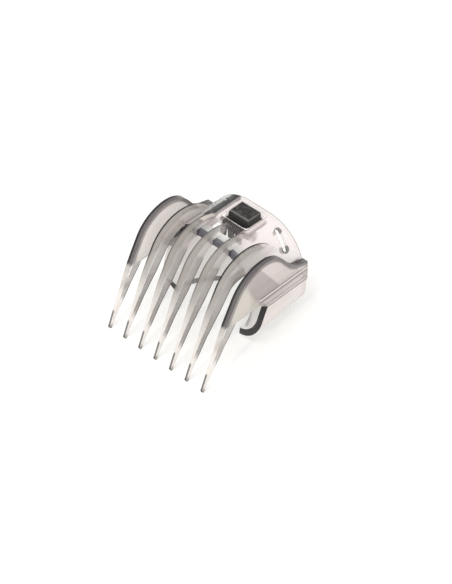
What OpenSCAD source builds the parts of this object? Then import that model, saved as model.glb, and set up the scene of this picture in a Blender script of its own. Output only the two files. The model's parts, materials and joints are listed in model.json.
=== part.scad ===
// Guard comb for a hair clipper: seven curved teeth on an arched shell with two side cheeks,
// guide rails and skirts, and a sprung push-button latch that holds it on the clipper head.
// Millimetres. +Z is up, +Y points to the rear, where the clipper head slides in, and X runs
// across the teeth. The comb stands on its tooth tips and its two soles.
// The shapes are drawn in the rail frame, where the rails run along Y and the origin lies at
// the centre of the round tooth tips; stand() then leans the whole comb back onto its soles.

/* [Teeth] */
// Distance between neighbouring teeth
tooth_pitch = 7.3; // [7.1:0.1:7.5]
// Thickness of a tooth where it meets the shell
tooth_root_t = 2.3; // [2:0.1:2.5]
// Thickness of a tooth halfway up its free length
tooth_mid_t = 1.3; // [1.2:0.1:1.6]
// Thickness of a tooth at its tip
tooth_tip_t = 1; // [0.8:0.1:1.1]
// Radius of the round tooth tip
tip_r = 0.42; // [0.36:0.02:0.5]
// Distance from the tips back to the crest of the hump
crest_y = 28.2; // [27.8:0.1:28.6]
// Height of the crest above the shell's flat top
crest_rise = 2.3; // [2.1:0.1:2.7]
// Radius of the hump in front of its crest
front_r = 15.5; // [15.2:0.1:15.8]
// Slope of the front edge where the hump begins
hump_lean = 60; // [59:0.5:61]
// Radius of the cheeks' hump behind its crest
hump_r = 11.8; // [11.2:0.2:12.4]
// Steepest slope of the cheeks behind the hump
hump_drop = 52; // [49:1:55]
// Radius behind the crest of the inner teeth, which run out over the shell
runout_r = 17; // [14:0.5:20]

/* [Cheeks] */
// Thickness of the side cheeks
cheek_t = 2.2; // [1.8:0.1:2.6]
// Radius of the saddle behind the hump
saddle_r = 9; // [7:0.5:10]
// Slope of the top edge behind the saddle
tail_slope = 15; // [12:1:18]
// Distance from the tips back to the rear end of the cheeks
rear_y = 49.3; // [49:0.1:49.6]
// Height of the rear top corner of the cheeks
rear_z = 26.1; // [25.8:0.1:26.4]
// Height of the cheek's lower edge in front of the rail
cheek_low_z = 21.4; // [20.6:0.2:22]

/* [Shell] */
// Half width of the shell's flat top
flat_w = 4.4; // [4:0.1:4.7]
// Wall of the shell
shell_t = 1.6; // [1.4:0.1:1.7]
// Height of the shell's flat top
top_z = 36.3; // [36:0.1:36.6]
// Front edge of the shell's top
front_y = 28; // [27.6:0.1:28.6]
// Rear edge of the shell
shell_rear_y = 50; // [49.8:0.1:50.4]
// How far the slanted front wall reaches forward under that edge
nose_w = 1.4; // [1:0.1:1.8]
// Width of the stiffening lip under the front edge
lip_w = 2; // [1.4:0.1:2.4]
// Depth of that lip below the wall
lip_d = 0.4; // [0.3:0.1:0.6]
// Distance of the shoulder slots in front of the rear edge
slot_inset = 4.3; // [4:0.1:4.6]
// Width of the shoulder slots
slot_w = 2.2; // [1.8:0.1:2.4]
// Length of the shoulder slots
slot_l = 8.6; // [7:0.2:9]
// Slant of the shoulder slots
slot_lean = 14; // [8:1:18]

/* [Rails and skirts] */
// Height of the top of the guide rails
rail_top_z = 24.4; // [24:0.1:24.8]
// Height of the underside of the guide rails
rail_low_z = 18.5; // [18:0.1:19]
// How far the rails stand out from the cheeks
rail_proud = 0.25; // [0.2:0.05:0.5]
// How far the rails stand in from the cheeks
rail_inset = 2.4; // [2.2:0.1:2.6]
// Front end of the guide rails
rail_front_y = 26; // [25.6:0.1:26.4]
// Height of the channel that takes the clipper's side tongue
channel_h = 2.6; // [2.2:0.1:2.8]
// Depth of that channel
channel_d = 2; // [1.6:0.1:2.2]
// Wall of the skirts
skirt_t = 2.3; // [1.8:0.1:2.5]
// Outer radius where a skirt turns in towards its sole
skirt_r = 9; // [8.4:0.1:9.6]
// Distance of the toe of the skirt behind the tips
toe_y = 25.2; // [25:0.1:26]
// Distance from the tips back to where the mouth between the toes starts to narrow
mouth_y = 28; // [27:0.2:29]
// Half width of the opening between the soles at the toes
mouth_w = 14.6; // [13.8:0.2:15]
// Half width of the opening between the soles at the rear
throat_w = 7; // [6.4:0.2:8]
// Distance from the tips back to where the opening reaches that width
throat_y = 39.8; // [39:0.2:41]
// Lean of the rails when the comb stands on its tips and soles
stand_tilt = 7; // [6:0.25:8]
// Rise of the soles from their rear pads towards the toes
sole_rise = 3.2; // [2:0.2:4]
// Depth planed off the rear of the soles to make the flat pads
pad_d = 0.45; // [0.3:0.05:0.6]

/* [Latch] */
// Width of the push-button
button_w = 9.4; // [9.2:0.1:9.6]
// Length of the push-button
button_l = 7; // [6.8:0.1:7.2]
// Distance of the push-button in front of the shell's rear edge
button_inset = 3.5; // [3.2:0.1:3.8]
// Height of the push-button above the shell
button_proud = 1.7; // [1.4:0.1:1.9]
// Corner radius of the push-button
button_r = 1.1; // [0.8:0.1:1.4]
// Slope of the push-button's sides
button_lean = 18; // [12:1:20]
// Slope of the push-button's front wall
button_rake = 27; // [22:1:30]
// Number of grooves across the push-button
groove_count = 4; // [3:1:5]
// Depth of those grooves
groove_d = 0.25; // [0.15:0.05:0.3]
// Gap beside the push-button
button_gap = 0.45; // [0.35:0.05:0.5]
// Extra gap in front of the push-button, where the spring shows
coil_gap = 0.75; // [0.6:0.05:0.9]
// Extra gap behind the push-button, which moves back as it goes down
swing_gap = 0.2; // [0.2:0.05:0.3]
// Depth of the step round the button window
bezel_d = 0.4; // [0.2:0.1:0.6]
// Width of the step round the button window
bezel_w = 0.3; // [0.2:0.1:0.5]
// Radius of the pivot pin
pin_r = 0.75; // [0.65:0.05:0.85]
// Running clearance of the lever on the pin, on the radius
pin_clear = 0.06; // [0.04:0.01:0.1]
// Depth of the pin's centre below the underside of the shell
pin_drop = 2; // [1.9:0.1:2.3]
// Wall round the pin in the ears and the lever
hub_t = 0.85; // [0.7:0.05:0.9]
// Thickness of the pivot ears
ear_t = 1.6; // [1.2:0.1:2]
// Gap between moving and fixed parts of the latch
latch_gap = 0.3; // [0.25:0.05:0.35]
// Thickness of the lever's arms
arm_t = 1.4; // [1.2:0.1:1.5]
// Width of the claw
claw_w = 8.8; // [8.4:0.1:9]
// Reach of the claw in front of the pin
claw_reach = 3.8; // [3.6:0.1:4.2]
// Depth of the claw's prongs below its arm
prong_d = 2.4; // [2:0.1:3]
// Width of each prong
prong_w = 2; // [1.8:0.1:2.2]
// Thickness of the spring wire
wire_d = 0.4; // [0.35:0.05:0.45]
// Turns of the return spring
spring_turns = 11; // [8:1:12]

/* [Hidden] */
$fn = 64;
clear_plastic = [0.80, 0.77, 0.75, 0.55];
black_plastic = [0.10, 0.10, 0.11];
steel = [0.72, 0.70, 0.64];
past = 1;                                     // cuts run this far past the face they leave
arc_steps = 14;                               // straight pieces in each arc of an outline

// Outline of the teeth
crest_z = top_z + crest_rise;                 // the crest stands above the shell
cheek_mid = 3 * tooth_pitch;                  // middle of the outer teeth and the cheeks
cheek_in = cheek_mid - cheek_t / 2;
cheek_out = cheek_mid + cheek_t / 2;
bow_top = [crest_y - front_r * sin(hump_lean), crest_z - front_r * (1 - cos(hump_lean))];
bow_axis = [sin(hump_lean), -cos(hump_lean)];
bow_r = (tip_r * tip_r - bow_top * bow_top) / (2 * (bow_top * bow_axis + tip_r));
bow = bow_top + bow_r * bow_axis;             // centre of the long bow of the front edge
bow_lean = atan2(-bow[1], -bow[0]) - 90;      // slope of the front edge at the tip
drop_y = crest_y + hump_r * sin(hump_drop);
drop_z = crest_z - hump_r + hump_r * cos(hump_drop);
saddle_y = drop_y + saddle_r * (sin(hump_drop) - sin(tail_slope));
saddle_z = drop_z + saddle_r * (cos(hump_drop) - cos(tail_slope));
drop_l = (saddle_z - rear_z - (rear_y - saddle_y) * tan(tail_slope))
    / (sin(hump_drop) - cos(hump_drop) * tan(tail_slope));
lead_y = drop_l * cos(hump_drop);
lead_z = -drop_l * sin(hump_drop);
back_lean = 59;                               // slope of a tooth's back edge at its tip
back_rise = 52.4;                             // its slope where it nears the shell
web_z = 2;                                    // height of the web between back edge and shell
back_knee = [8.8, 14];                        // inner teeth: control point of the back edge
cheek_knee = [6.9, 9.7];                      // outer teeth: control point of the back edge
cheek_foot_y = 14.8;                          // where the outer tooth meets the lower edge
thin_z = 4;                                   // the teeth start to thicken above this height
mid_z = 14;                                   // height of the middle thickness

// Section of the shell
shoulder_r = cheek_in - flat_w - 0.2;         // the shell ends just inside the cheeks
arch_z = top_z - shoulder_r;                  // height of the shoulders' centres
under_z = top_z - shell_t;
under_r = shoulder_r - shell_t;
nose_y = front_y - nose_w;                    // lower edge of the front wall
split_w = tooth_pitch - tooth_root_t / 2 - 0.2;    // the top plate ends just inside two teeth
function arch_at(x, r) = arch_z + (abs(x) <= flat_w ? r : sqrt(r * r - pow(abs(x) - flat_w, 2)));
shell_profile = [
    [under_r - lip_d, nose_y],
    [under_r - lip_d, nose_y + lip_w],
    [under_r, nose_y + lip_w + lip_d],
    [under_r, shell_rear_y],
    [shoulder_r, shell_rear_y],
    [shoulder_r, front_y]];
slot_y = shell_rear_y - slot_inset;
slot_angle = 51;                              // middle of the slots above the horizontal

// Rails and skirts
rail_out = cheek_out + rail_proud;
rail_in = cheek_in - rail_inset;
rail_mid_z = (rail_top_z + rail_low_z) / 2;
rail_foot_y = rail_front_y + 4.2;                  // where the rail's slanted end reaches its underside
hook_knee = [toe_y + 0.1, rail_low_z / 2];    // control point of the hook-shaped front edge
mouth_knee = [mouth_w, mouth_y + 4.6];        // control point of the edge that closes the mouth
line_w = 0.5;                                 // outer step lines along the rail
line_d = 0.25;
skirt_out = cheek_out - 0.1;
sole_y = rear_y * cos(stand_tilt) + rear_z * sin(stand_tilt);      // rear end of the soles
standing_y = shell_rear_y * cos(stand_tilt) + top_z * sin(stand_tilt);   // rearmost point, on the shell
mid_y = (standing_y - tip_r) / 2;

// Latch
button_rear_y = shell_rear_y - button_inset;
button_front_y = button_rear_y - button_l;
window_w = button_w / 2 + button_gap;
window_front_y = button_front_y - button_gap - coil_gap;
window_rear_y = button_rear_y + button_gap + swing_gap;
window_r = button_r + button_gap;
pin_y = button_front_y + 0.2;                 // the pin lies under the button's front wall
pin_z = under_z - pin_drop;
hub_r = pin_r + pin_clear + hub_t;
flange_lap = 0.5;                             // how far the flange reaches under the shell
flange_w = window_w + flange_lap;
flange_top = arch_at(flange_w, under_r) - latch_gap;
flange_rear_y = window_rear_y + flange_lap;
ear_in = flange_w + latch_gap;
pin_half = ear_in + ear_t + 0.2;              // the pin stands out of its ears a little
knuckle_w = 1.2;                              // width of the lever's knuckles on the pin
bar_y = pin_y - hub_r - latch_gap;            // rear face of the claw's cross-bar
claw_top = flange_top - 0.4;                  // room for the claw to swing up under the shell
prong_base = 1.2;                             // length of a prong where it leaves the arm
prong_foot = 0.8;                             // its length at its foot
prong_bevel = 0.4;
comb_gap = 1.2;                               // width of the slits between the prongs
groove_end = 1.2;                             // plain margin beside the grooves
coil_r = pin_r + 0.15 + wire_d / 2;           // the coil runs clear of the pin
coil_half = flange_w - knuckle_w - latch_gap - wire_d / 2;
rear_leg_lean = 14;                           // slope of the leg under the flange
front_leg_lean = 40;                          // slope of the leg against the shell

// ---- frames and small tools ----

// Leans the comb back until its tips and soles touch the surface it stands on.
module stand() {
    translate([0, -mid_y, tip_r]) rotate([-stand_tilt, 0, 0]) children();
}

// A plate between x0 and x1 with an outline of [y, z] points.
module slab(x0, x1, outline) {
    translate([x0, 0, 0]) rotate([90, 0, 90]) linear_extrude(x1 - x0) polygon(outline);
}

// A cylinder along X.
module rod(x0, x1, y, z, r) {
    translate([x0, y, z]) rotate([0, 90, 0]) cylinder(r = r, h = x1 - x0);
}

// A box between two corners.
module block(low, high) {
    translate(low) cube(high - low);
}

// A flat rectangle with round corners.
module round_rect(x0, x1, y0, y1, r) {
    translate([x0 + r, y0]) square([x1 - x0 - 2 * r, y1 - y0]);
    translate([x0, y0 + r]) square([x1 - x0, y1 - y0 - 2 * r]);
    for (x = [x0 + r, x1 - r], y = [y0 + r, y1 - r])
        translate([x, y]) circle(r = r);
}

// Puts a right-hand shape on the left.
module on_left() {
    mirror([1, 0, 0]) children();
}

// ---- outlines in [y, z] ----

function arc(cy, cz, r, from, to, first = 0) =
    [for (i = [first:arc_steps]) let (a = from + (to - from) * i / arc_steps)
        [cy + r * cos(a), cz + r * sin(a)]];

// A curve from p to s that heads for q, without its start p.
function bezier(p, q, s) = [for (i = [1:arc_steps]) let (t = i / arc_steps)
    (1 - t) * (1 - t) * p + 2 * t * (1 - t) * q + t * t * s];

// The round tip, the long bow of the front edge and the hump, which falls behind its crest
// with radius r until it has a given slope.
function front_edge(r, slope) = concat(
    arc(0, 0, tip_r, 270 + back_lean, 90 + bow_lean),
    arc(bow[0], bow[1], bow_r, 90 + bow_lean, 90 + hump_lean, 1),
    arc(crest_y, crest_z - front_r, front_r, 90 + hump_lean, 90, 1),
    arc(crest_y, crest_z - r, r, 90, 90 - slope, 1));

tip_back = tip_r * [cos(back_lean - 90), sin(back_lean - 90)];

// ---- teeth and cheeks ----

// A solid that thins a tooth from its root to its tip, on both sides.
module tooth_taper(x, root_t) {
    flank = [[tooth_tip_t / 2, -2 * tip_r], [tooth_tip_t / 2, thin_z], [tooth_mid_t / 2, mid_z],
        [root_t / 2, cheek_low_z], [root_t / 2, crest_z + past]];
    translate([x, rear_y + past, 0]) rotate([90, 0, 0]) linear_extrude(rear_y + 3 * past)
        polygon(concat(flank, [for (i = [len(flank) - 1:-1:0]) [-flank[i][0], flank[i][1]]]));
}

// One of the five inner teeth: a blade that runs over the front edge of the shell.
module inner_tooth(x) {
    mid = arch_at(x, shoulder_r - shell_t / 2);
    foot = arch_at(x, under_r - lip_d);
    end_slope = acos((mid - crest_z + runout_r) / runout_r);
    web = [for (z = [foot, foot - web_z]) back_knee + (z - back_knee[1]) * [1 / tan(back_rise), 1]];
    outline = concat(
        front_edge(runout_r, end_slope),
        [[front_y + past, mid], [nose_y + lip_w / 2, foot], [nose_y, foot]],
        bezier([nose_y, foot], web[0], web[1]),
        bezier(web[1], back_knee, tip_back));
    color(clear_plastic) stand() difference() {
        intersection() {
            slab(x - tooth_root_t / 2, x + tooth_root_t / 2, outline);
            tooth_taper(x, tooth_root_t);
        }
        shell_solid();
    }
}

module tooth_2() {
    inner_tooth(-2 * tooth_pitch);
}

module tooth_3() {
    inner_tooth(-tooth_pitch);
}

module tooth_4() {
    inner_tooth(0);
}

module tooth_5() {
    inner_tooth(tooth_pitch);
}

module tooth_6() {
    inner_tooth(2 * tooth_pitch);
}

// Side cheek: outer tooth, hump, saddle and tail in one plate above the rail.
module cheek() {
    outline = concat(
        front_edge(hump_r, hump_drop),
        [for (p = arc(saddle_y + saddle_r * sin(tail_slope), saddle_z + saddle_r * cos(tail_slope),
            saddle_r, 270 - hump_drop, 270 - tail_slope)) p + [lead_y, lead_z]],
        [[rear_y, rear_z], [rear_y, rail_top_z], [rail_front_y, rail_top_z],
            [rail_front_y, cheek_low_z], [cheek_foot_y, cheek_low_z]],
        bezier([cheek_foot_y, cheek_low_z], cheek_knee, tip_back));
    intersection() {
        slab(cheek_in, cheek_out, outline);
        tooth_taper(cheek_mid, cheek_t);
    }
}

module right_cheek() {
    color(clear_plastic) stand() cheek();
}

module left_cheek() {
    color(clear_plastic) stand() on_left() cheek();
}

// ---- shell ----

module flat_shell() {
    slab(-flat_w, flat_w, [for (p = shell_profile) [p[1], arch_z + p[0]]]);
}

module round_shell() {
    intersection() {
        translate([flat_w, 0, arch_z]) rotate([-90, 0, 0]) rotate([0, 0, -90])
            rotate_extrude(angle = 90) polygon(shell_profile);
        block([flat_w, 0, rail_top_z], [cheek_in, shell_rear_y, top_z + past]);
    }
}

// The whole shell without its openings, to trim what sits on it.
module shell_solid() {
    flat_shell();
    round_shell();
    on_left() round_shell();
}

// Middle of the shell, with the button window and the step round it.
module top_plate() {
    color(clear_plastic) stand() difference() {
        intersection() {
            shell_solid();
            block([-split_w, 0, arch_z], [split_w, shell_rear_y + past, top_z + past]);
        }
        translate([0, 0, arch_z]) linear_extrude(shoulder_r + past)
            round_rect(-window_w, window_w, window_front_y, window_rear_y, window_r);
        translate([0, 0, top_z - bezel_d]) linear_extrude(past)
            round_rect(-window_w - bezel_w, window_w + bezel_w, window_front_y - bezel_w,
                window_rear_y + bezel_w, window_r + bezel_w);
    }
}

// Rounded shoulder with its long slot.
module shoulder() {
    half = slot_l / 2 - slot_w / 2;
    difference() {
        round_shell();
        block([0, 0, arch_z], [split_w, shell_rear_y + past, top_z + past]);
        translate([flat_w, slot_y, arch_z]) rotate([0, 90 - slot_angle, 0])
            translate([0, 0, under_r - 3 * past]) rotate(-slot_lean) {
                for (x = [-half, half])
                    translate([x, 0, 0]) cylinder(d = slot_w, h = shell_t + 4 * past);
                block([-half, -slot_w / 2, 0], [half, slot_w / 2, shell_t + 4 * past]);
            }
    }
}

module right_shoulder() {
    color(clear_plastic) stand() shoulder();
}

module left_shoulder() {
    color(clear_plastic) stand() on_left() shoulder();
}

// ---- rails and skirts ----

// Guide rail: a bar with the tongue's channel inside and two step lines outside.
module rail() {
    difference() {
        slab(rail_in, rail_out, [[rail_front_y, rail_top_z], [rear_y, rail_top_z],
            [rear_y, rail_low_z], [rail_foot_y, rail_low_z], [rail_front_y, cheek_low_z]]);
        block([rail_in - past, rail_front_y - past, rail_mid_z - channel_h / 2],
            [rail_in + channel_d, rear_y + past, rail_mid_z + channel_h / 2]);
        for (z = [rail_mid_z - channel_h / 2, rail_mid_z + channel_h / 2])
            block([rail_out - line_d, rail_front_y - past, z - line_w / 2],
                [rail_out + past, rear_y + past, z + line_w / 2]);
    }
}

module right_rail() {
    color(clear_plastic) stand() rail();
}

module left_rail() {
    color(clear_plastic) stand() on_left() rail();
}

// Section of a skirt in [x, z]: it hangs down, turns in and ends in a flat sole.
module skirt_section(out, r, low) {
    translate([-past, low + r]) square([out + past, rear_y]);
    translate([-past, low]) square([out + past - r, rear_y]);
    translate([out - r, low + r]) circle(r = r);
}

// Skirt below the rail: its section runs along the sole, which rises from a flat pad at the
// rear to the toe; the front edge is cut to the hook shape and the throat opens between.
module skirt() {
    intersection() {
        translate([0, sole_y, -pad_d]) rotate([90 - sole_rise, 0, 0]) linear_extrude(rear_y)
            difference() {
                skirt_section(skirt_out, skirt_r, 0);
                skirt_section(skirt_out - skirt_t, skirt_r - skirt_t, skirt_t);
            }
        linear_extrude(rear_y) difference() {
            square([rail_out, 2 * rear_y]);
            throat();
        }
        translate([0, 0, tip_r]) rotate([-stand_tilt, 0, 0])
            slab(0, rail_out, concat(
                [[toe_y, 0], [rear_y, 0], [rear_y, rail_low_z], [rail_foot_y, rail_low_z]],
                bezier([rail_foot_y, rail_low_z], hook_knee, [toe_y, past])));
    }
}

// The opening between the soles, seen from above: wide at the toes, then narrow.
module throat() {
    polygon(concat(
        [[-past, 3 * rear_y], [-past, -past], [mouth_w, -past], [mouth_w, mouth_y]],
        bezier([mouth_w, mouth_y], mouth_knee, [throat_w, throat_y]),
        [[throat_w, 3 * rear_y]]));
}

module right_skirt() {
    color(clear_plastic) translate([0, -mid_y, 0]) skirt();
}

module left_skirt() {
    color(clear_plastic) translate([0, -mid_y, 0]) on_left() skirt();
}

// ---- latch ----

// Ear under the shell that carries one end of the pivot pin.
module pivot_ear() {
    difference() {
        union() {
            rod(ear_in, ear_in + ear_t, pin_y, pin_z, hub_r);
            block([ear_in, pin_y - hub_r, pin_z], [ear_in + ear_t, pin_y + hub_r, under_z]);
        }
        rod(ear_in - past, ear_in + ear_t + past, pin_y, pin_z, pin_r);
        round_shell();
    }
}

module right_pivot_ear() {
    color(clear_plastic) stand() pivot_ear();
}

module left_pivot_ear() {
    color(clear_plastic) stand() on_left() pivot_ear();
}

module pivot_pin() {
    color(steel) stand() rod(-pin_half, pin_half, pin_y, pin_z, pin_r);
}

// Rocking lever: knuckles on the pin, a flange under the button and a claw with three prongs.
module latch_lever() {
    front = pin_y - claw_reach;
    low = claw_top - arm_t;
    foot = low - prong_d;
    inner = flange_w - knuckle_w;
    color(black_plastic) stand() difference() {
        union() {
            block([-flange_w, pin_y + hub_r + latch_gap, flange_top - arm_t],
                [flange_w, flange_rear_y, flange_top]);
            for (turn = [0, 1]) mirror([turn, 0, 0]) {
                rod(inner, flange_w, pin_y, pin_z, hub_r);
                block([inner, pin_y, flange_top - arm_t], [flange_w, pin_y + 2 * hub_r, flange_top]);
                translate([0, 0, low]) linear_extrude(arm_t)
                    polygon([[0, front], [claw_w / 2, front], [claw_w / 2, front + prong_base],
                        [flange_w, pin_y - pin_r], [flange_w, pin_y], [inner, pin_y],
                        [inner, pin_y - pin_r], [claw_w / 2 - knuckle_w, bar_y], [0, bar_y]]);
            }
            for (x = (claw_w - prong_w) / 2 * [-1, 0, 1])
                slab(x - prong_w / 2, x + prong_w / 2, [[front, claw_top],
                    [front, foot + prong_bevel], [front + prong_bevel, foot],
                    [front + prong_foot, foot], [front + prong_base, low],
                    [front + prong_base, claw_top]]);
        }
        rod(-flange_w - past, flange_w + past, pin_y, pin_z, pin_r + pin_clear);
        for (x = (claw_w - prong_w) / 4 * [-1, 1])
            block([x - comb_gap / 2, front - past, low - past],
                [x + comb_gap / 2, front + prong_base, claw_top + past]);
    }
}

// Button cap: a low block with raked walls and finger grooves across it.
module push_button() {
    high = top_z + button_proud;
    groove_pitch = (button_l - 2 * button_r) / (groove_count + 1);
    side = (high - flange_top) * tan(button_lean);
    rake = (high - flange_top) * tan(button_rake);
    base = button_w / 2 + (top_z - flange_top) * tan(button_lean);
    base_y = button_front_y - (top_z - flange_top) * tan(button_rake);
    color(black_plastic) stand() difference() {
        intersection() {
            translate([0, 0, flange_top]) linear_extrude(high - flange_top)
                round_rect(-button_w / 2, button_w / 2, button_front_y, button_rear_y, button_r);
            slab(-button_w, button_w, [[base_y, flange_top], [button_rear_y, flange_top],
                [button_rear_y, top_z], [button_rear_y - groove_d, high], [base_y + rake, high]]);
            rotate([90, 0, 0]) mirror([0, 0, 1]) linear_extrude(rear_y)
                polygon([[-base, flange_top], [base, flange_top], [base - side, high],
                    [side - base, high]]);
        }
        for (i = [1:groove_count])
            rod(groove_end - button_w / 2, button_w / 2 - groove_end,
                base_y + rake + i * groove_pitch, high, groove_d);
    }
}

// Torsion spring round the pin: one leg lifts the flange, the other bears on the shell.
module return_spring() {
    sides = 6;
    turn_steps = 12;
    first = rear_leg_lean - 90;
    last = 360 * spring_turns + 90 - front_leg_lean;
    rear_leg = (flange_top - arm_t - wire_d / 2 - pin_z - coil_r * sin(first)) / sin(rear_leg_lean);
    front_leg = (under_z - wire_d / 2 - pin_z - coil_r * sin(last)) / sin(front_leg_lean);
    steps = ceil((last - first) / 360 * turn_steps);
    coil = [for (i = [0:steps]) let (a = first + (last - first) * i / steps)
        [-coil_half + 2 * coil_half * i / steps, coil_r * cos(a), coil_r * sin(a)]];
    path = concat(
        [coil[0] + rear_leg * [0, cos(rear_leg_lean), sin(rear_leg_lean)]], coil,
        [coil[steps] + front_leg * [0, -cos(front_leg_lean), sin(front_leg_lean)]]);
    color(steel) stand() translate([0, pin_y, pin_z]) tube(path, wire_d / 2, sides);
}

// A round wire along a path whose direction is never along X.
module tube(path, r, sides) {
    last = len(path) - 1;
    rings = [for (i = [0:last])
        let (ahead = path[min(i + 1, last)] - path[max(i - 1, 0)],
            along = ahead / norm(ahead),
            side = cross(along, [1, 0, 0]) / norm(cross(along, [1, 0, 0])),
            up = cross(side, along))
        [for (k = [0:sides - 1]) path[i] + r * (side * cos(360 * k / sides) + up * sin(360 * k / sides))]];
    points = [for (ring = rings, p = ring) p];
    walls = [for (i = [0:last - 1], k = [0:sides - 1]) let (n = (k + 1) % sides)
        [i * sides + k, i * sides + n, (i + 1) * sides + n, (i + 1) * sides + k]];
    polyhedron(points, concat(walls, [[for (k = [sides - 1:-1:0]) k]],
        [[for (k = [0:sides - 1]) last * sides + k]]));
}

top_plate();
left_shoulder();
right_shoulder();
left_cheek();
right_cheek();
tooth_2();
tooth_3();
tooth_4();
tooth_5();
tooth_6();
left_rail();
right_rail();
left_skirt();
right_skirt();
left_pivot_ear();
right_pivot_ear();
pivot_pin();
return_spring();
latch_lever();
push_button();
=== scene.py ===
"""Visual model of a hair clipper's guard comb: the moulding, its latch and a plain studio."""

import json
import math

import bmesh
import bpy
from mathutils import Color, Matrix, Vector

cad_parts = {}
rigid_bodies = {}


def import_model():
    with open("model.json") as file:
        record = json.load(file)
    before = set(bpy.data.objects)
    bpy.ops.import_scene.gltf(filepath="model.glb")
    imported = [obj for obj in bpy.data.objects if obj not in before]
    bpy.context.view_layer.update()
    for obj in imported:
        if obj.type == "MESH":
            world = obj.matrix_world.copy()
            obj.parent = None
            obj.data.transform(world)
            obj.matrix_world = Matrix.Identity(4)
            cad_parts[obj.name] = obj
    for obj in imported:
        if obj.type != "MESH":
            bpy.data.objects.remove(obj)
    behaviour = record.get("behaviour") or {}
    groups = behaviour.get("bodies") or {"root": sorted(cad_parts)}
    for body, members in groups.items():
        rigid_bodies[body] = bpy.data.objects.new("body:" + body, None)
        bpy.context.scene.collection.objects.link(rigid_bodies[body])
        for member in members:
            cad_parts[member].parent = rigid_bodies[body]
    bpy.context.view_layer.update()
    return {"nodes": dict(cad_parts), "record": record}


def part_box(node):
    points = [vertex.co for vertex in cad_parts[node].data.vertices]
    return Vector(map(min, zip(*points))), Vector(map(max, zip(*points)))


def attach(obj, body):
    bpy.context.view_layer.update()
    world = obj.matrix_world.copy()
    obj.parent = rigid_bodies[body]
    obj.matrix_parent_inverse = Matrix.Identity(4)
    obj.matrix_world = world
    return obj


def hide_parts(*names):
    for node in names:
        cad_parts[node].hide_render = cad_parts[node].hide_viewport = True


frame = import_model()

bl_info = {
    "name": "Clipper Guard Comb",
    "version": (1, 0, 0),
    "blender": (4, 5, 0),
    "location": "3D View > Sidebar > Guard Comb",
    "description": "Dresses a clipper guard comb: clear moulding, sprung latch and studio",
    "category": "Object",
}

MM = 0.001
BODIES = frame["record"]["behaviour"]["bodies"]

# Sizes of the comb in its rail frame, in millimetres: the rails run along Y, the origin is
# the centre of the round tooth tips, and the whole comb then leans back onto its soles.
LEAN = math.radians(7)
TIP_R = 0.42
MID_Y = 26.8156
PITCH = 7.3
CHEEK_IN = 20.8
CHEEK_OUT = 23.0
CREST = Vector((28.2, 38.6))
FRONT_R = 15.5
HUMP_LEAN = math.radians(60)
RUNOUT_R = 17.0
HUMP_R = 11.8
HUMP_DROP = math.radians(52)
SADDLE_R = 9.0
SADDLE_CENTRE = Vector((47.48, 35.90))
TAIL_SLOPE = math.radians(15)
TAIL_END = Vector((49.3, 26.1))
# where the top edge of a cheek passes from its hump to its slide, its saddle and its tail
SLIDE_Y = 37.5
SADDLE_Y = 40.4
TAIL_Y = 45.15
MIDDLE_BACK = (Vector((0.36, -0.22)), Vector((8.8, 14.0)), Vector((22.76, 32.13)))
OUTER_BACK = (Vector((0.36, -0.22)), Vector((8.8, 14.0)), Vector((19.56, 27.98)))
CHEEK_BACK = (Vector((0.36, -0.22)), Vector((6.9, 9.7)), Vector((14.8, 21.4)))
FLAT_W = 4.4
ARCH_Z = 20.1
SHOULDER_R = 16.2
SHELL_T = 1.6
RAIL_TOP = 24.4
RAIL_LOW = 18.5
ROOT_SINK = 0.5
# the button's window in the shell, the dark strip beside it and the slots of the shoulders
WINDOW_HALF_X = 5.15
WINDOW_HALF_Y = 4.525
WINDOW_Y = 42.825
STRIP_LEFT = -12.1
STRIP_RIGHT = -8.3
SLOT_TURN = math.radians(90 - 51)
SLOT_LEAN = math.radians(14)
SLOT_HALF = 3.3
SLOT_Y = 45.7
# the pivot pin, and the spring that is wound round it
PIN = (39.7, 32.7)
PIN_R = 0.75
COIL_CLEAR = 0.15
WIRE_D = 0.4
SPRING_TURNS = 11
REAR_LEG_TURN = math.radians(14 - 90)
FRONT_LEG_TURN = math.radians(90 - 40)
REAR_LEG = 2.9
FRONT_LEG = 1.6
# curves of the soles: the front edge from the side, and the opening between them from above
HOOK = (Vector((30.2, 18.5)), Vector((25.3, 9.25)), Vector((25.2, 1.0)))
MOUTH = (Vector((14.6, 28.0)), Vector((14.6, 32.6)), Vector((7.0, 39.8)))

# The studio, in metres; the lens is in millimetres and its shift in widths of the picture.
FLOOR_DROP = 0.03 * MM
AIM = Vector((0, 0, 0.01))
CAMERA_LENS = 110.96
CAMERA_SHIFT = (0.03219, -0.02455)
CAMERA_PLACE = (0.3082904, -0.2667465, 0.4596644)
CAMERA_RIGHT = Vector((0.719194, 0.689630, -0.084676))
CAMERA_UP = Vector((-0.469406, 0.572110, 0.672568))


def standing(x, y, z):
    """A point of the rail frame, in millimetres, as a place of the standing comb in metres."""
    return Vector(
        (
            x,
            y * math.cos(LEAN) + z * math.sin(LEAN) - MID_Y,
            z * math.cos(LEAN) - y * math.sin(LEAN) + TIP_R,
        )
    ) * MM


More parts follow.
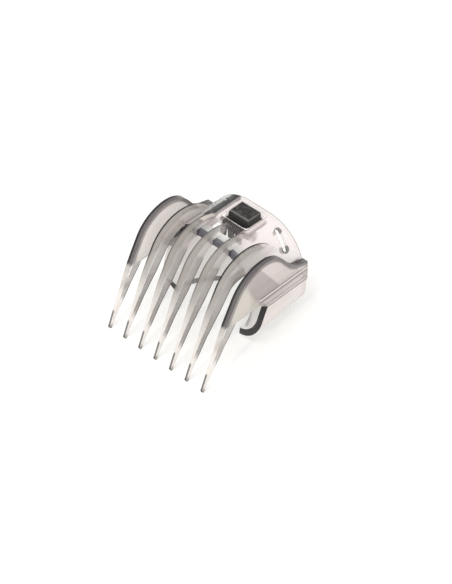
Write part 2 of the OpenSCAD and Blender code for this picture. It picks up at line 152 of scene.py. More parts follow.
class Field:
    """A number that varies over a surface, built from Math nodes."""

    def __init__(self, tree, socket):
        self.tree = tree
        self.socket = socket

    def calc(self, operation, *others):
        return calc(self.tree, operation, self, *others)

    def __add__(self, other):
        return self.calc("ADD", other)

    def __radd__(self, other):
        return self.calc("ADD", other)

    def __sub__(self, other):
        return self.calc("SUBTRACT", other)

    def __rsub__(self, other):
        return calc(self.tree, "SUBTRACT", other, self)

    def __mul__(self, other):
        return self.calc("MULTIPLY", other)

    def __rmul__(self, other):
        return self.calc("MULTIPLY", other)

    def __truediv__(self, other):
        return self.calc("DIVIDE", other)

    def __abs__(self):
        return self.calc("ABSOLUTE")

    def most(self, other):
        return self.calc("MAXIMUM", other)

    def ramp(self, low, high):
        """0 at low and 1 at high, with a smooth step between; low may be above high."""
        node = self.tree.nodes.new("ShaderNodeMapRange")
        node.interpolation_type = "SMOOTHSTEP"
        node.inputs["From Min"].default_value = low
        node.inputs["From Max"].default_value = high
        self.tree.links.new(self.socket, node.inputs["Value"])
        return Field(self.tree, node.outputs["Result"])

    def step(self, at):
        """0 before at and 1 behind it."""
        return self.ramp(at - 0.01, at + 0.01)

    def band(self, low, high, soft):
        """1 between low and high, fading out over soft on both sides."""
        return self.ramp(low - soft, low + soft) * self.ramp(high + soft, high - soft)


def calc(tree, operation, *values):
    """A Math node fed with fields and plain numbers."""
    node = tree.nodes.new("ShaderNodeMath")
    node.operation = operation
    for i, value in enumerate(values):
        if isinstance(value, Field):
            tree.links.new(value.socket, node.inputs[i])
        else:
            node.inputs[i].default_value = value
    return Field(tree, node.outputs[0])


def choose(mask, low, high):
    """low where mask is 0 and high where it is 1."""
    return low + mask * (high - low)


def length(y, z):
    """Length of the arrow (y, z)."""
    return (y * y + z * z).calc("SQRT")


def inside_circle(y, z, centre, radius):
    """How far a place lies inside a circle; negative outside it."""
    return radius - length(y - centre.x, z - centre.y)


def line_distance(y, z, through, normal):
    """Signed distance from a straight line: positive on the side of its normal."""
    return (y - through[0]) * normal[0] + (z - through[1]) * normal[1]


def parabola_distance(y, z, points):
    """Signed distance from a quadratic curve: positive on the side of its knee."""
    start, knee, end = points
    area = (knee - start).cross(end - start)

    def weight(a, b):
        slope_y, slope_z = -(b.y - a.y) / area, (b.x - a.x) / area
        offset = -(a.x * slope_y + a.y * slope_z)
        return y * slope_y + z * slope_z + offset, slope_y, slope_z

    w0, y0, z0 = weight(knee, end)
    w1, y1, z1 = weight(end, start)
    w2, y2, z2 = weight(start, knee)
    value = w1 * w1 - 4 * w0 * w2
    grad_y = 2 * w1 * y1 - 4 * (w0 * y2 + w2 * y0)
    grad_z = 2 * w1 * z1 - 4 * (w0 * z2 + w2 * z0)
    return value / length(grad_y, grad_z).most(1e-6)


def rail_place(tree):
    """The place on the surface in the rail frame, as three fields in millimetres."""
    source = tree.nodes.new("ShaderNodeTexCoord")
    lean = tree.nodes.new("ShaderNodeMapping")
    lean.inputs["Scale"].default_value = (1 / MM,) * 3
    lean.inputs["Rotation"].default_value = (LEAN, 0, 0)
    lean.inputs["Location"].default_value = (
        0,
        MID_Y * math.cos(LEAN) + TIP_R * math.sin(LEAN),
        MID_Y * math.sin(LEAN) - TIP_R * math.cos(LEAN),
    )
    split = tree.nodes.new("ShaderNodeSeparateXYZ")
    tree.links.new(source.outputs["Object"], lean.inputs["Vector"])
    tree.links.new(lean.outputs["Vector"], split.inputs["Vector"])
    return [Field(tree, split.outputs[i]) for i in range(3)], lean.outputs["Vector"]


def noise(tree, vector, scale, detail=2.0):
    """Soft random clouds, from 0 to 1."""
    node = tree.nodes.new("ShaderNodeTexNoise")
    node.inputs["Scale"].default_value = scale
    node.inputs["Detail"].default_value = detail
    tree.links.new(vector, node.inputs["Vector"])
    return Field(tree, node.outputs["Fac"])


def layer(tree, under, colour, mask):
    """colour over under, where the mask says."""
    node = tree.nodes.new("ShaderNodeMix")
    node.data_type = "RGBA"
    tree.links.new(mask.socket, node.inputs["Factor"])
    for name, value in (("A", under), ("B", colour)):
        socket = next(s for s in node.inputs if s.name == name and s.type == "RGBA")
        if isinstance(value, bpy.types.NodeSocket):
            tree.links.new(value, socket)
        else:
            socket.default_value = (*value, 1)
    return next(s for s in node.outputs if s.type == "RGBA")


class Coat:
    """Colour and opacity of a clear surface, painted in layers."""

    def __init__(self, tree, colour, alpha):
        self.tree = tree
        self.colour = colour
        self.alpha = alpha

    def add(self, colour, mask, alpha):
        """Paints a colour where the mask says; alpha None keeps the opacity as it is."""
        self.colour = layer(self.tree, self.colour, colour, mask)
        if alpha is not None:
            self.alpha = choose(mask, self.alpha, alpha)


def new_material(name, **inputs):
    """A material whose uniform values stand on the shader's own sockets."""
    material = bpy.data.materials.new(name)
    material.use_nodes = True
    shader = material.node_tree.nodes["Principled BSDF"]
    for socket, value in inputs.items():
        shader.inputs[socket.replace("_", " ")].default_value = value
    return material, material.node_tree, shader


def ripple(tree, shader, height, strength, depth):
    """Fine relief of a surface, its depth in millimetres."""
    node = tree.nodes.new("ShaderNodeBump")
    node.inputs["Strength"].default_value = strength
    node.inputs["Distance"].default_value = depth * MM
    tree.links.new(height.socket, node.inputs["Height"])
    tree.links.new(node.outputs["Normal"], shader.inputs["Normal"])


def front_distance(y, z, cheek):
    """How far a place of a tooth lies inside its front and top edge."""
    axis = Vector((math.sin(HUMP_LEAN), -math.cos(HUMP_LEAN)))
    bow_top = CREST + Vector((-math.sin(HUMP_LEAN), math.cos(HUMP_LEAN) - 1)) * FRONT_R
    bow_r = (TIP_R**2 - bow_top.dot(bow_top)) / (2 * (bow_top.dot(axis) + TIP_R))
    bow = inside_circle(y, z, bow_top + axis * bow_r, bow_r)
    hump = inside_circle(y, z, CREST - Vector((0, FRONT_R)), FRONT_R)
    below = ((y - bow_top.x) * axis.y - (z - bow_top.y) * axis.x).step(0.0)
    front = choose(below, hump, bow)
    run_out = inside_circle(y, z, CREST - Vector((0, RUNOUT_R)), RUNOUT_R)
    hump_centre = CREST - Vector((0, HUMP_R))
    top = inside_circle(y, z, hump_centre, HUMP_R)
    drop = hump_centre + Vector((math.sin(HUMP_DROP), math.cos(HUMP_DROP))) * HUMP_R
    slide = (drop.y - z) * math.cos(HUMP_DROP) - (y - drop.x) * math.sin(HUMP_DROP)
    tail = (TAIL_END.y - z) * math.cos(TAIL_SLOPE) - (y - TAIL_END.x) * math.sin(TAIL_SLOPE)
    saddle = length(y - SADDLE_CENTRE.x, z - SADDLE_CENTRE.y) - SADDLE_R
    rear = top
    for start, edge in ((SLIDE_Y, slide), (SADDLE_Y, saddle), (TAIL_Y, tail)):
        rear = choose(y.step(start), rear, edge)
    return choose(y.step(CREST.x), front, choose(cheek, run_out, rear))


class Place:
    """Where a point of the clear plastic lies, as the fields that its masks are made of."""

    def __init__(self, tree):
        (self.x, self.y, self.z), self.vector = rail_place(tree)
        self.across = abs(self.x)
        self.beside = self.x - (self.x / PITCH).calc("ROUND") * PITCH
        self.right = self.x.ramp(-1, 1)
        self.outer = self.across.ramp(10.0, 11.0)
        self.cheek = self.across.ramp(CHEEK_IN - 0.25, CHEEK_IN - 0.15)
        self.inner = 1.0 - self.cheek
        self.depth = front_distance(self.y, self.z, self.cheek)
        self.front = self.depth.ramp(0.12, 0.04)
        self.side = 1.0 - self.front
        self.radius = length((self.across - FLAT_W).most(0.0), self.z - ARCH_Z)
        self.shell = self.shell_wall()

    def shell_wall(self):
        """1 in the arched wall of the shell, between the cheeks and above the rails."""
        inside = SHOULDER_R - SHELL_T
        wall = self.radius.ramp(inside - 0.5, inside - 0.4)
        wall = wall * self.radius.ramp(SHOULDER_R + 0.4, SHOULDER_R + 0.05)
        wall = wall * self.y.ramp(26.4, 26.5)
        return wall * self.across.ramp(20.3, 20.2) * self.z.ramp(RAIL_TOP, RAIL_TOP + 0.1)


def paint_tooth_sides(coat, look, at, cloud):
    """Pale sides of the teeth, with warm clouds, and painted shade in grey patches and along a
    dark back edge.
    """
    y, z, side = at.y, at.z, at.side
    coat.add(look.tooth_warm, side * cloud.ramp(0.4, 0.6) * z.ramp(26, 20), None)
    coat.add(look.tooth_high, side * z.ramp(20, 30), 0.45)
    coat.add(look.tooth_grey_shade, side * at.depth.ramp(1.4, 0.1) * z.ramp(22, 30), 0.6)
    coat.add(look.tooth_grey_shade, side * at.inner * z.band(10.5, 14.5, 2.0) * 0.4, 0.4)
    coat.add(look.tooth_pale, side * z.ramp(9.0, 6.5), 0.4)
    middle, outer = (parabola_distance(y, z, back) for back in (MIDDLE_BACK, OUTER_BACK))
    back = choose(at.outer, middle, outer).ramp(0.8, 0.5) * side * at.inner
    back = back * z.ramp(5.5, 8.5) * z.ramp(32.0, 30.5)
    coat.add(look.painted_shade, back * choose(z.ramp(18.0, 30.0), 0.9, 0.6), 0.9)


def paint_tooth_fronts(coat, look, at):
    """Painted shade on the taupe front faces, with a darker left edge, which turns black over the
    hump, and dark lower ends near the tips.
    """
    z, front, beside = at.z, at.front, at.beside
    coat.add(look.tooth_front_shade, front * z.ramp(5.0, 9.0), 0.75)
    coat.add(look.tooth_pale, front * z.ramp(26.0, 10.0) * 0.9, 0.45)
    root = at.inner * (at.y - at.outer * 3.0).ramp(31.0, 33.5)
    coat.add(look.shell, root, choose(at.across.ramp(5.0, 7.0), 0.1, 0.4))
    left = beside.ramp(-0.35, -0.95)
    coat.add(look.painted_shade, front * at.inner * left * z.ramp(20.0, 29.0) * 0.8, 0.92)
    black = front * at.inner * beside.ramp(-0.3, -0.75) * at.outer * z.ramp(24, 31)
    coat.add(look.darkest_shade, black, 0.95)
    coat.add(look.painted_shade, front * beside.ramp(0.45, 0.1) * z.ramp(6.6, 5.6) * 0.95, 0.95)


def paint_cheeks(coat, look, at):
    """Clear walls in three tones, the middle one painted shade, with bands and edges of painted
    shade and a black rim of painted shade from the free teeth to the tail.
    """
    x, y, z, cheek, right = at.x, at.y, at.z, at.cheek, at.right
    above = z.ramp(21.2, 22.6).most(y.ramp(24.0, 25.0))
    wall = cheek * at.side * above
    first = line_distance(y, z, (19.7, 33.0), (0.86, 0.51))
    second = line_distance(y, z, (27.0, 36.0), (0.80, 0.60))
    coat.add(look.cheek_pink, wall, 0.5)
    coat.add(look.cheek_cream, wall * right, 0.5)
    coat.add(look.cheek_mauve_shade, wall * right * first.ramp(-0.25, 0.25), 0.6)
    coat.add(look.cheek_light, wall * right * second.ramp(-0.3, 0.3), 0.55)
    coat.add(look.painted_shade, wall * at.depth.ramp(1.9, 0.9) * 0.85, 0.85)
    coat.add(look.rim, cheek * at.front * above, 0.92)
    edge = x.ramp(CHEEK_IN + 1.1, CHEEK_IN + 0.6) * right
    edge = edge.most(x.ramp(-CHEEK_OUT + 1.1, -CHEEK_OUT + 0.6))
    coat.add(look.darkest_shade, cheek * at.depth.ramp(0.5, 0.25) * above * edge, 0.97)
    under = parabola_distance(y, z, CHEEK_BACK).ramp(0.75, 0.45) * cheek
    coat.add(look.painted_shade, under * z.band(8.5, 21.4, 1.5) * 0.8, 0.85)
    coat.add(look.tooth_grey_shade, cheek * at.side * z.band(13.0, 16.0, 1.0) * 0.8, 0.7)


def paint_tips(coat, look, at):
    """Painted shade at the dark ends of the round tooth tips."""
    coat.add(look.darkest_shade, at.z.ramp(0.9, 0.1) * 0.75, 0.93)


def paint_shell(coat, look, at):
    """Clear shell with painted shade in cool bands, on its front wall and along its rear edge, a
    dark strip on the left that is a painted reflection, and a painted highlight on the step at the
    window with a line of painted shade beyond it.
    """
    x, y, across, shell = at.x, at.y, at.across, at.shell
    coat.add(look.shell, shell, 0.33)
    skin = shell * at.radius.ramp(SHOULDER_R - 0.3, SHOULDER_R - 0.2)
    claw = across.ramp(5.1, 4.8) * y.band(31.2, 39.0, 0.4)
    coat.add(look.shell, shell * claw, 0.04)
    coat.add(look.shell_cool_shade, shell * y.ramp(31.2, 30.6) * across.ramp(12.0, 10.0), 0.5)
    coat.add(look.wall, shell * y.ramp(28.7, 28.3) * across.ramp(14.0, 10.5), 0.85)
    strip = shell * x.band(STRIP_LEFT, STRIP_RIGHT, 0.15) * y.ramp(34.0, 36.0)
    coat.add(look.strip, strip, 0.93)
    beyond = shell * x.ramp(STRIP_LEFT, STRIP_LEFT - 0.3) * y.ramp(33.0, 35.0)
    coat.add(look.shell_cool_shade, beyond, 0.5)
    coat.add(look.painted_shade, skin * y.ramp(49.7, 49.85) * 0.8, 0.85)
    coat.add(look.painted_shade, skin * y.band(48.6, 48.75, 0.1) * 0.35, 0.45)
    veil = skin * across.band(5.5, 7.0, 0.7) * y.band(37.0, 46.5, 1.2)
    coat.add(look.shell_veil, veil, 0.75)
    window = (across - WINDOW_HALF_X).most(abs(y - WINDOW_Y) - WINDOW_HALF_Y)
    coat.add(look.white_and_highlight, skin * window.band(0.0, 0.4, 0.1), 0.9)
    coat.add(look.painted_shade, skin * window.band(0.55, 0.75, 0.1) * 0.7, 0.6)


def paint_roots(coat, look, at):
    """Painted dark reflections and shade, and a cream painted highlight edged with painted shade,
    at the roots of teeth 2 and 3.
    """
    x, y, z = at.x, at.y, at.z
    lens = at.shell * x.band(-13.3, -8.6, 0.3) * y.ramp(28.7, 28.3)
    coat.add(look.darkest_shade, lens, 0.95)
    leaf_y, leaf_z = y - 26.2, z - 31.8
    leaf = length((leaf_y * 0.976 + leaf_z * 0.216) * 0.3, leaf_z * 0.976 - leaf_y * 0.216)
    leaf = leaf.ramp(1.15, 0.9) * x.band(-13.6, -13.3, 0.05)
    coat.add(look.darkest_shade, leaf * at.side, 0.97)
    # painted highlight in the cheeks' cream colour at the end of tooth 3's run-out
    cream = x.band(-8.6, -6.2, 0.1) * y.band(29.6, 35.6, 0.6)
    cream = cream * at.radius.ramp(SHOULDER_R, SHOULDER_R + 0.2)
    coat.add(look.cheek_cream, cream * z.ramp(34.5, 35.5), 0.8)
    coat.add(look.darkest_shade, cream * z.ramp(34.5, 35.5) * at.beside.ramp(-0.5, -0.85), 0.95)


def paint_slots(coat, look, at):
    """Painted shade in dark rounds at both ends of the slots in the shoulders."""
    around = (at.across - FLAT_W).calc("ARCTAN2", at.z - ARCH_Z)
    slot_x = (around - SLOT_TURN) * SHOULDER_R
    for along, size, colour in ((-SLOT_HALF, 1.25, look.painted_shade), (SLOT_HALF, 1.4, look.strip)):
        spot_x = slot_x - along * math.cos(SLOT_LEAN)
        spot_y = at.y - SLOT_Y + along * math.sin(SLOT_LEAN)
        spot = length(spot_x, spot_y).ramp(size + 0.3, size)
        coat.add(colour, at.shell * spot * 0.9, 0.9)


def paint_crease_shade(coat, look, at):
    """Painted shade along the creases where the outer teeth meet the shell."""
    seam = at.inner * at.outer * at.side
    seam = seam * at.radius.band(SHOULDER_R + 0.1, SHOULDER_R + 0.5, 0.1)
    seam = seam * at.y.band(27.5, 36.5, 0.5) * at.z.ramp(28.0, 30.0) * at.depth.ramp(0.2, 0.4)
    coat.add(look.painted_shade, seam * 0.7, 0.7)


def paint_rails(coat, look, at):
    """Rails and skirts, with lines of painted shade and painted highlight along the rails and
    painted shade in dark edges round the soles.
    """
    y, z, across = at.y, at.z, at.across
    low = z.ramp(RAIL_TOP + 0.05, RAIL_TOP - 0.05) * y.ramp(25.5, 25.6)
    coat.add(look.rail, low, 0.6)
    line = across.ramp(22.9, 22.95) * low
    coat.add(look.painted_shade, line * z.ramp(RAIL_TOP - 0.25, RAIL_TOP - 0.1) * 0.8, 0.9)
    coat.add(look.white_and_highlight, line * z.band(RAIL_TOP - 0.7, RAIL_TOP - 0.35, 0.1), 0.85)
    skirt = low * z.ramp(RAIL_LOW, RAIL_LOW - 0.05)
    coat.add(look.skirt, skirt, 0.6)
    coat.add(look.white_and_highlight, skirt * across.ramp(20.75, 20.65), 0.3)
    coat.add(look.painted_shade, line * z.band(RAIL_LOW, RAIL_LOW + 0.3, 0.1) * 0.8, 0.8)
    hook = abs(parabola_distance(y, z, HOOK)).ramp(0.16, 0.06) * skirt_side(z, y)
    coat.add(look.darkest_shade, hook * at.right.most(z.ramp(7.5, 6.0)), 0.98)
    plan_y = y * math.cos(LEAN) + z * math.sin(LEAN)
    mouth = abs(parabola_distance(across, plan_y, MOUTH)).ramp(0.16, 0.06)
    coat.add(look.darkest_shade, mouth * skirt_side(z, y) * across.band(7.1, 14.5, 0.05) * 0.85, 0.95)


def clear_plastic(look):
    """Smoky clear plastic, whose pale walls and dark rims are painted at fixed places of the comb;
    the rims and many other marks are painted shade, highlights and reflections.
    """
    material, tree, shader = new_material("smoky_clear_plastic", IOR=1.49)
    at = Place(tree)
    grain = noise(tree, at.vector, 0.9, 3.0)
    coat = Coat(tree, look.tooth_side, 0.28)
    paint_tooth_sides(coat, look, at, noise(tree, at.vector, 0.25))
    for paint in (
        paint_tooth_fronts, paint_cheeks, paint_tips, paint_shell,
        paint_roots, paint_slots, paint_crease_shade, paint_rails,
    ):
        paint(coat, look, at)
    gloss = choose(grain.ramp(0.35, 0.65), 0.14, 0.26)
    tree.links.new(coat.colour, shader.inputs["Base Color"])
    tree.links.new(coat.alpha.socket, shader.inputs["Alpha"])
    tree.links.new(gloss.socket, shader.inputs["Roughness"])
    ripple(tree, shader, grain, 0.12, 0.05)
    return material


def skirt_side(z, y):
    """1 on the skirts, which hang below the rails behind the teeth."""
    return z.ramp(RAIL_LOW + 0.2, RAIL_LOW - 0.2) * y.ramp(19.0, 20.0)


def black_plastic(look):
    """Black moulded plastic with a fine spark texture, painted sheen in clouds on its top and
    painted highlights along the top's edges.
    """
    material, tree, shader = new_material("black_moulded_plastic", Specular_IOR_Level=0.5)
    (x, y, z), place = rail_place(tree)
    cloud = noise(tree, place, 0.5)
    spark = noise(tree, place, 9.0, 3.0)
    top = z.ramp(37.6, 37.75) * y.ramp(39.9, 40.0)
    rim = abs(x).ramp(3.9, 4.0).most(y.ramp(40.75, 40.6))
    # painted sheen in clouds on the latch's top, then painted highlights along the top's edges
    paint = layer(tree, look.button, look.button_top_sheen, top * cloud.ramp(0.45, 0.6) * 0.5)
    paint = layer(tree, paint, look.button_edge_highlight, top * rim * 0.55)
    tree.links.new(paint, shader.inputs["Base Color"])
    gloss = choose(spark.ramp(0.3, 0.7), 0.32, 0.45)
    tree.links.new(gloss.socket, shader.inputs["Roughness"])
    ripple(tree, shader, spark, 0.25, 0.02)
    return material


def drawn_steel(look, name, colour):
    """Bright steel with fine drawing lines along X."""
    material, tree, shader = new_material(name, Metallic=1.0)
    _, place = rail_place(tree)
    stretch = tree.nodes.new("ShaderNodeMapping")
    stretch.inputs["Scale"].default_value = (0.3, 8.0, 8.0)
    tree.links.new(place, stretch.inputs["Vector"])
    lines = noise(tree, stretch.outputs["Vector"], 1.0, 3.0)
    paint = layer(tree, colour, [c * 0.82 for c in colour], lines.ramp(0.4, 0.65))
    tree.links.new(paint, shader.inputs["Base Color"])
    gloss = choose(lines.ramp(0.35, 0.65), 0.22, 0.38)
    tree.links.new(gloss.socket, shader.inputs["Roughness"])
    return material


def sunk(place):
    """A place on the shell's outer face moved into its wall; any other place stays."""
    out, up = place.y / MM + MID_Y, place.z / MM - TIP_R
    y = out * math.cos(LEAN) - up * math.sin(LEAN)
    z = out * math.sin(LEAN) + up * math.cos(LEAN)
    x = place.x / MM
    arm = Vector((max(abs(x) - FLAT_W, 0.0), z - ARCH_Z))
    if abs(arm.length - SHOULDER_R) > 0.03:
        return place
    turned = arm * (1 - ROOT_SINK / arm.length)
    x += math.copysign(turned.x - arm.x, x)
    return standing(x, y, ARCH_Z + turned.y)


def merged_copy(node):
    """A clean copy of a CAD node's mesh: welded, without slivers and without its materials."""
    mesh = frame["nodes"][node].data.copy()
    mesh.materials.clear()
    bm = bmesh.new()
    bm.from_mesh(mesh)
    bmesh.ops.remove_doubles(bm, verts=bm.verts, dist=0.002 * MM)
    bmesh.ops.dissolve_degenerate(bm, edges=bm.edges, dist=0.001 * MM)
    bm.to_mesh(mesh)
    bm.free()
    return mesh


def smooth(mesh, sharp):
    """Smooth shading that stays crisp along edges of more than sharp degrees."""
    mesh.shade_smooth()
    mesh.set_sharp_from_angle(angle=math.radians(sharp))


def roll(bm, angle):
    """Turns a mesh about the X axis."""
    turn = Matrix.Rotation(angle, 3, "X")
    bmesh.ops.rotate(bm, verts=bm.verts, cent=(0, 0, 0), matrix=turn)


def new_piece(name, mesh, material, body, slot, *nodes):
    """Puts a finished mesh in the scene, riding on its body in place of its CAD nodes."""
    piece = bpy.data.objects.new(name, mesh)
    bpy.context.scene.collection.objects.link(piece)
    mesh.materials.clear()
    mesh.materials.append(material)
    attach(piece, body)
    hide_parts(*nodes)
    return piece


def colour_property(name, description, screen):
    """A colour whose default is given as it looks on a screen, from 0 to 255."""
    return bpy.props.FloatVectorProperty(
        name=name, description=description, size=3, subtype="COLOR", min=0.0, max=1.0,
        default=Color([c / 255 for c in screen]).from_srgb_to_scene_linear(),
    )


class CombLook(bpy.types.PropertyGroup):
    """Colours of the comb."""

    tooth_side: colour_property("Tooth side", "Clear sides of the teeth", (246, 241, 237))
    tooth_warm: colour_property("Tooth warm", "Warm clouds in the teeth", (240, 226, 216))
    tooth_high: colour_property("Tooth root", "Sides of the teeth near the shell", (224, 217, 212))
    # painted shade: grey patches on the teeth and a grey band on the cheeks
    tooth_grey_shade: colour_property("Tooth grey", "Grey patches of the teeth", (160, 155, 150))
    tooth_pale: colour_property("Tooth pale", "Pale lower ends of the teeth", (232, 222, 214))
    # painted shade: the front faces of the teeth are painted darker than their sides
    tooth_front_shade: colour_property("Tooth front", "Front faces of the teeth", (146, 140, 133))
    # painted shade on walls and along thin dark edges, such as the back edges of the teeth, the
    # window's rim and the rail lines
    painted_shade: colour_property("Painted shade", "Shaded walls and thin dark edges", (80, 75, 74))
    # painted shade: the darkest shade and dark reflections on rims, edges, tips and soles
    darkest_shade: colour_property("Darkest shade", "Darkest rims", (26, 23, 25))
    # painted shade: the dark front and top faces of the cheeks
    rim: colour_property("Rim", "Front and top faces of the cheeks", (84, 78, 79))
    cheek_pink: colour_property("Cheek pink", "Wall of the left cheek", (252, 242, 236))
    cheek_cream: colour_property("Cheek cream", "Front of the cheeks' wall", (216, 207, 195))
    # painted shade: a darker band in the middle of the right cheek's wall
    cheek_mauve_shade: colour_property("Cheek mauve", "Middle of the cheeks' wall", (188, 178, 175))
    cheek_light: colour_property("Cheek light", "Rear of the cheeks' wall", (234, 223, 219))
    shell: colour_property("Shell", "Clear wall of the shell", (236, 223, 221))
    # painted shade: cool grey bands at the front of the shell and left of its dark strip
    shell_cool_shade: colour_property("Shell cool", "Cool bands of the shell", (205, 207, 203))
    shell_veil: colour_property("Shell veil", "Milky places beside the button", (236, 223, 221))
    # painted highlights on the window's step and along the rails, and the white inner faces of the
    # skirts
    white_and_highlight: colour_property("Shell white", "Bright steps and lines", (250, 245, 240))
    # painted shade: the dark slanted front wall of the shell between the teeth
    wall: colour_property("Front wall", "Slanted front wall of the shell", (92, 90, 98))
    strip: colour_property("Shell strip", "Dark reflection along the shell", (20, 18, 19))
    rail: colour_property("Rail", "Clear wall of the rails", (184, 173, 169))
    skirt: colour_property("Skirt", "Clear wall of the skirts", (236, 224, 220))
    button: colour_property("Button", "Black latch", (26, 24, 23))
    # painted sheen in clouds on the latch's top
    button_top_sheen: colour_property("Button top sheen", "Painted sheen on the latch's top", (84, 80, 76))
    # painted highlights along the edges of the latch's top
    button_edge_highlight: colour_property("Button edge", "Bright edges of the latch", (120, 115, 110))
    pin: colour_property("Pin", "Steel of the pivot pin", (150, 147, 142))
    wire: colour_property("Wire", "Blued steel of the spring", (46, 41, 36))
    floor: colour_property("Floor", "Pale floor", (206, 205, 202))


class CombSizes(bpy.types.PropertyGroup):
    """Sizes and lamp powers that only the visual model has."""

    button_corner: bpy.props.FloatProperty(
        name="Button corner", description="Radius of the push-button's upright corners",
        default=0.8 * MM, min=0.3 * MM, max=1.2 * MM, unit="LENGTH",
    )
    button_round: bpy.props.FloatProperty(
        name="Button rounding", description="Rounding of the push-button's edges",
        default=0.22 * MM, min=0.05 * MM, max=0.4 * MM, unit="LENGTH",
    )
    lamp_power: bpy.props.FloatProperty(
        name="Lamp power", description="Power of the overhead soft box",
        default=1.3, min=0.0, max=20.0, unit="POWER",
    )
    side_power: bpy.props.FloatProperty(
        name="Side lamp power", description="Power of the soft box beside the comb",
        default=1.9, min=0.0, max=20.0, unit="POWER",
    )
    front_power: bpy.props.FloatProperty(
        name="Front lamp power",
        description="Power of the small lamp in front, which draws the shadows",
        default=1.2, min=0.0, max=20.0, unit="POWER",
    )
    sky: bpy.props.FloatProperty(
        name="Sky", description="Strength of the even light all round",
        default=0.75, min=0.0, max=2.0, subtype="FACTOR",
    )


class COMB_OT_moulding(bpy.types.Operator):
    """Joins the sixteen clear sub-parts into the one seamless moulding that they really are"""

    bl_idname = "comb.moulding"
    bl_label = "Clear moulding"

    def execute(self, context):
        loose = ("pivot_pin", "return_spring")
        nodes = [n for n in sorted(BODIES["root"]) if n not in loose]
        parts = bpy.data.collections.new("moulding_parts")
        context.scene.collection.children.link(parts)
        for node in nodes:
            mesh = merged_copy(node)
            if node.startswith("tooth"):
                # the roots reach into the shell's wall, so that no seam is left between them
                for vertex in mesh.vertices:
                    vertex.co = sunk(vertex.co)
            parts.objects.link(bpy.data.objects.new("part_" + node, mesh))
        first = parts.objects[0]
        parts.objects.unlink(first)
        context.scene.collection.objects.link(first)
        union = first.modifiers.new("union", "BOOLEAN")
        union.operation = "UNION"
        union.solver = "EXACT"
        union.operand_type = "COLLECTION"
        union.collection = parts
        ready = first.evaluated_get(context.evaluated_depsgraph_get())
        mesh = bpy.data.meshes.new_from_object(ready)
        for part in [first, *parts.objects]:
            bpy.data.objects.remove(part)
        bpy.data.collections.remove(parts)
        if not mesh.polygons:
            raise RuntimeError("the clear sub-parts could not be joined")
        mesh.name = "clear_moulding"
        smooth(mesh, 28)
        piece = new_piece("clear_moulding", mesh, clear_plastic(context.scene.comb_look),
                          "root", "clear", *nodes)
        even = piece.modifiers.new("even_shading", "WEIGHTED_NORMAL")
        even.keep_sharp = True
        return {"FINISHED"}


class COMB_OT_latch(bpy.types.Operator):
    """Makes the push-button with rounded edges and finishes the lever and its pin"""

    bl_idname = "comb.latch"
    bl_label = "Push-button latch"

    def execute(self, context):
        look = context.scene.comb_look
        sizes = context.scene.comb_sizes
        plastic = black_plastic(look)
        mesh = merged_copy("push_button")
        bm = bmesh.new()
        bm.from_mesh(mesh)
        bmesh.ops.dissolve_limit(
            bm, angle_limit=math.radians(1), verts=bm.verts, edges=bm.edges
        )
        for keep, offset in ((True, sizes.button_corner), (False, sizes.button_round)):
            edges = [
                e for e in bm.edges
                if len(e.link_faces) == 2 and e.calc_face_angle(0) > math.radians(40)
                and (not keep or self.upright(e))
            ]
            bmesh.ops.bevel(
                bm, geom=edges, affect="EDGES", offset=offset, segments=4,
                profile=0.5, material=-1, clamp_overlap=True,
            )
        bm.to_mesh(mesh)
        bm.free()
        smooth(mesh, 35)
        new_piece("button_cap", mesh, plastic, "latch", "black", "push_button")
        finish = {
            "latch_lever": plastic,
            "pivot_pin": drawn_steel(look, "pin_steel", look.pin),
        }
        for node, material in finish.items():
            for slot in frame["nodes"][node].material_slots:
                slot.material = material
        return {"FINISHED"}

    @staticmethod
    def upright(edge):
        """Whether an edge is one of the cap's upright corners."""
        way = (edge.verts[1].co - edge.verts[0].co).normalized()
        return abs(way.dot(Vector((0, math.sin(LEAN), math.cos(LEAN))))) > 0.6


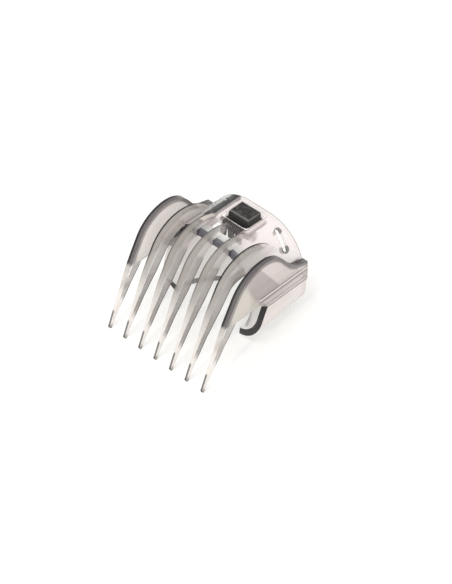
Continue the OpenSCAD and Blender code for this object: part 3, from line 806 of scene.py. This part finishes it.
class COMB_OT_spring(bpy.types.Operator):
    """Winds the torsion spring round the pin and gives it its two straight legs"""

    bl_idname = "comb.spring"
    bl_label = "Torsion spring"

    def execute(self, context):
        look = context.scene.comb_look
        wire_r = WIRE_D / 2 * MM
        coil_r = (PIN_R + COIL_CLEAR + WIRE_D / 2) * MM
        low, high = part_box("return_spring")
        half = (high.x - low.x) / 2 - wire_r
        first = REAR_LEG_TURN
        last = 2 * math.pi * SPRING_TURNS + FRONT_LEG_TURN
        bm = bmesh.new()
        bmesh.ops.create_circle(bm, cap_ends=False, radius=wire_r, segments=10)
        # known fault: these turns lay the ring in the plane of its path, so that the wire
        # comes out as a flat ribbon; without them it is round
        for _ in range(3):
            roll(bm, math.pi / 2)
        bmesh.ops.translate(bm, verts=bm.verts, vec=(-half, coil_r, 0))
        roll(bm, first)
        near_ring = list(bm.edges)
        steps = 28 * SPRING_TURNS
        made = bmesh.ops.spin(
            bm, geom=near_ring + list(bm.verts), cent=(0, 0, 0), axis=(1, 0, 0),
            dvec=(2 * half / steps, 0, 0), angle=last - first, steps=steps,
            use_duplicate=False, space=Matrix.Identity(4),
        )
        far_ring = [g for g in made["geom_last"] if isinstance(g, bmesh.types.BMEdge)]
        # known fault: the rear leg, at the near ring, runs forward
        for edges, turn, way, reach in (
            (near_ring, first, -1, REAR_LEG), (far_ring, last, 1, FRONT_LEG),
        ):
            along = Vector((0, -math.sin(turn), math.cos(turn))) * way
            out = bmesh.ops.extrude_edge_only(bm, edges=edges)["geom"]
            tip = [g for g in out if isinstance(g, bmesh.types.BMVert)]
            bmesh.ops.translate(bm, verts=tip, vec=along * (reach * MM))
            rim = [g for g in out if isinstance(g, bmesh.types.BMEdge)
                   and all(v in tip for v in g.verts)]
            bmesh.ops.edgeloop_fill(bm, edges=rim)
        bmesh.ops.recalc_face_normals(bm, faces=bm.faces)
        roll(bm, -LEAN)
        bmesh.ops.translate(bm, verts=bm.verts, vec=standing(0, *PIN))
        mesh = bpy.data.meshes.new("torsion_spring")
        bm.to_mesh(mesh)
        bm.free()
        smooth(mesh, 50)
        new_piece("torsion_spring", mesh, drawn_steel(look, "spring_steel", look.wire),
                  "root", "steel", "return_spring")
        return {"FINISHED"}


class COMB_OT_studio(bpy.types.Operator):
    """Sets up the pale floor, the overhead soft box, the even sky and the camera"""

    bl_idname = "comb.studio"
    bl_label = "Studio"

    def execute(self, context):
        look = context.scene.comb_look
        sizes = context.scene.comb_sizes
        bm = bmesh.new()
        bmesh.ops.create_grid(bm, x_segments=2, y_segments=2, size=2.0)
        # a hair under the flat pads of the soles, which would otherwise share its plane
        bmesh.ops.translate(bm, verts=bm.verts, vec=(0, 0, -FLOOR_DROP))
        mesh = bpy.data.meshes.new("studio_floor")
        bm.to_mesh(mesh)
        bm.free()
        floor = bpy.data.objects.new("studio_floor", mesh)
        context.scene.collection.objects.link(floor)
        mesh.materials.append(self.floor_material(look))

        for name, size, power, place in (
            ("soft_box", 0.26, sizes.lamp_power, (-0.06, -0.12, 0.62)),
            ("side_box", 0.5, sizes.side_power, (0.62, -0.3, 0.3)),
            ("front_lamp", 0.05, sizes.front_power, (0.1, -0.6, 0.6)),
        ):
            light = bpy.data.lights.new(name, "AREA")
            light.shape = "DISK"
            light.size = size
            light.energy = power
            lamp = bpy.data.objects.new(name, light)
            lamp.location = place
            way = AIM - lamp.location
            lamp.rotation_euler = way.to_track_quat("-Z", "Y").to_euler()
            context.scene.collection.objects.link(lamp)

        world = bpy.data.worlds.new("even_sky")
        world.use_nodes = True
        sky = world.node_tree.nodes["Background"]
        sky.inputs["Color"].default_value = (1, 1, 1, 1)
        sky.inputs["Strength"].default_value = sizes.sky
        context.scene.world = world

        lens = bpy.data.cameras.new("camera")
        lens.sensor_fit = "AUTO"
        lens.sensor_width = 36
        lens.lens = CAMERA_LENS
        lens.shift_x, lens.shift_y = CAMERA_SHIFT
        lens.clip_start = 0.01
        camera = bpy.data.objects.new("camera", lens)
        back = CAMERA_RIGHT.cross(CAMERA_UP)
        turn = Matrix((CAMERA_RIGHT, CAMERA_UP, back)).transposed().to_4x4()
        camera.matrix_world = Matrix.Translation(CAMERA_PLACE) @ turn
        context.scene.collection.objects.link(camera)
        context.scene.camera = camera
        context.scene.view_settings.view_transform = "Standard"
        return {"FINISHED"}

    @staticmethod
    def floor_material(look):
        """Pale matt paper that the camera sees as white, with the comb's shadow on it."""
        material, tree, shader = new_material("floor_paper", Roughness=0.9)
        source = tree.nodes.new("ShaderNodeTexCoord")
        fibre = noise(tree, source.outputs["Object"], 300.0, 3.0)
        paint = layer(tree, look.floor, [c * 0.985 for c in look.floor], fibre.ramp(0.4, 0.6))
        tree.links.new(paint, shader.inputs["Base Color"])
        rays = tree.nodes.new("ShaderNodeLightPath")
        seen = Field(tree, rays.outputs["Is Camera Ray"])
        for kind in ("Is Glossy Ray", "Is Transmission Ray"):
            seen = seen.most(Field(tree, rays.outputs[kind]))
        glow = seen * 0.36
        shader.inputs["Emission Color"].default_value = (1, 1, 1, 1)
        tree.links.new(glow.socket, shader.inputs["Emission Strength"])
        return material


class COMB_PT_panel(bpy.types.Panel):
    """Lists the comb's pieces, colours and sizes"""

    bl_label = "Guard Comb"
    bl_idname = "COMB_PT_panel"
    bl_space_type = "VIEW_3D"
    bl_region_type = "UI"
    bl_category = "Guard Comb"

    def draw(self, context):
        for maker in OPERATORS:
            self.layout.operator(maker.bl_idname)
        for group in (context.scene.comb_sizes, context.scene.comb_look):
            for name in group.__annotations__:
                self.layout.prop(group, name)


OPERATORS = (COMB_OT_moulding, COMB_OT_latch, COMB_OT_spring, COMB_OT_studio)
CLASSES = (CombLook, CombSizes, *OPERATORS, COMB_PT_panel)


def register():
    for item in CLASSES:
        bpy.utils.register_class(item)
    bpy.types.Scene.comb_look = bpy.props.PointerProperty(type=CombLook)
    bpy.types.Scene.comb_sizes = bpy.props.PointerProperty(type=CombSizes)


def unregister():
    del bpy.types.Scene.comb_sizes
    del bpy.types.Scene.comb_look
    for item in reversed(CLASSES):
        bpy.utils.unregister_class(item)


def main():
    register()
    bpy.ops.comb.moulding()
    bpy.ops.comb.latch()
    bpy.ops.comb.spring()
    bpy.ops.comb.studio()


if __name__ == "__main__":
    main()
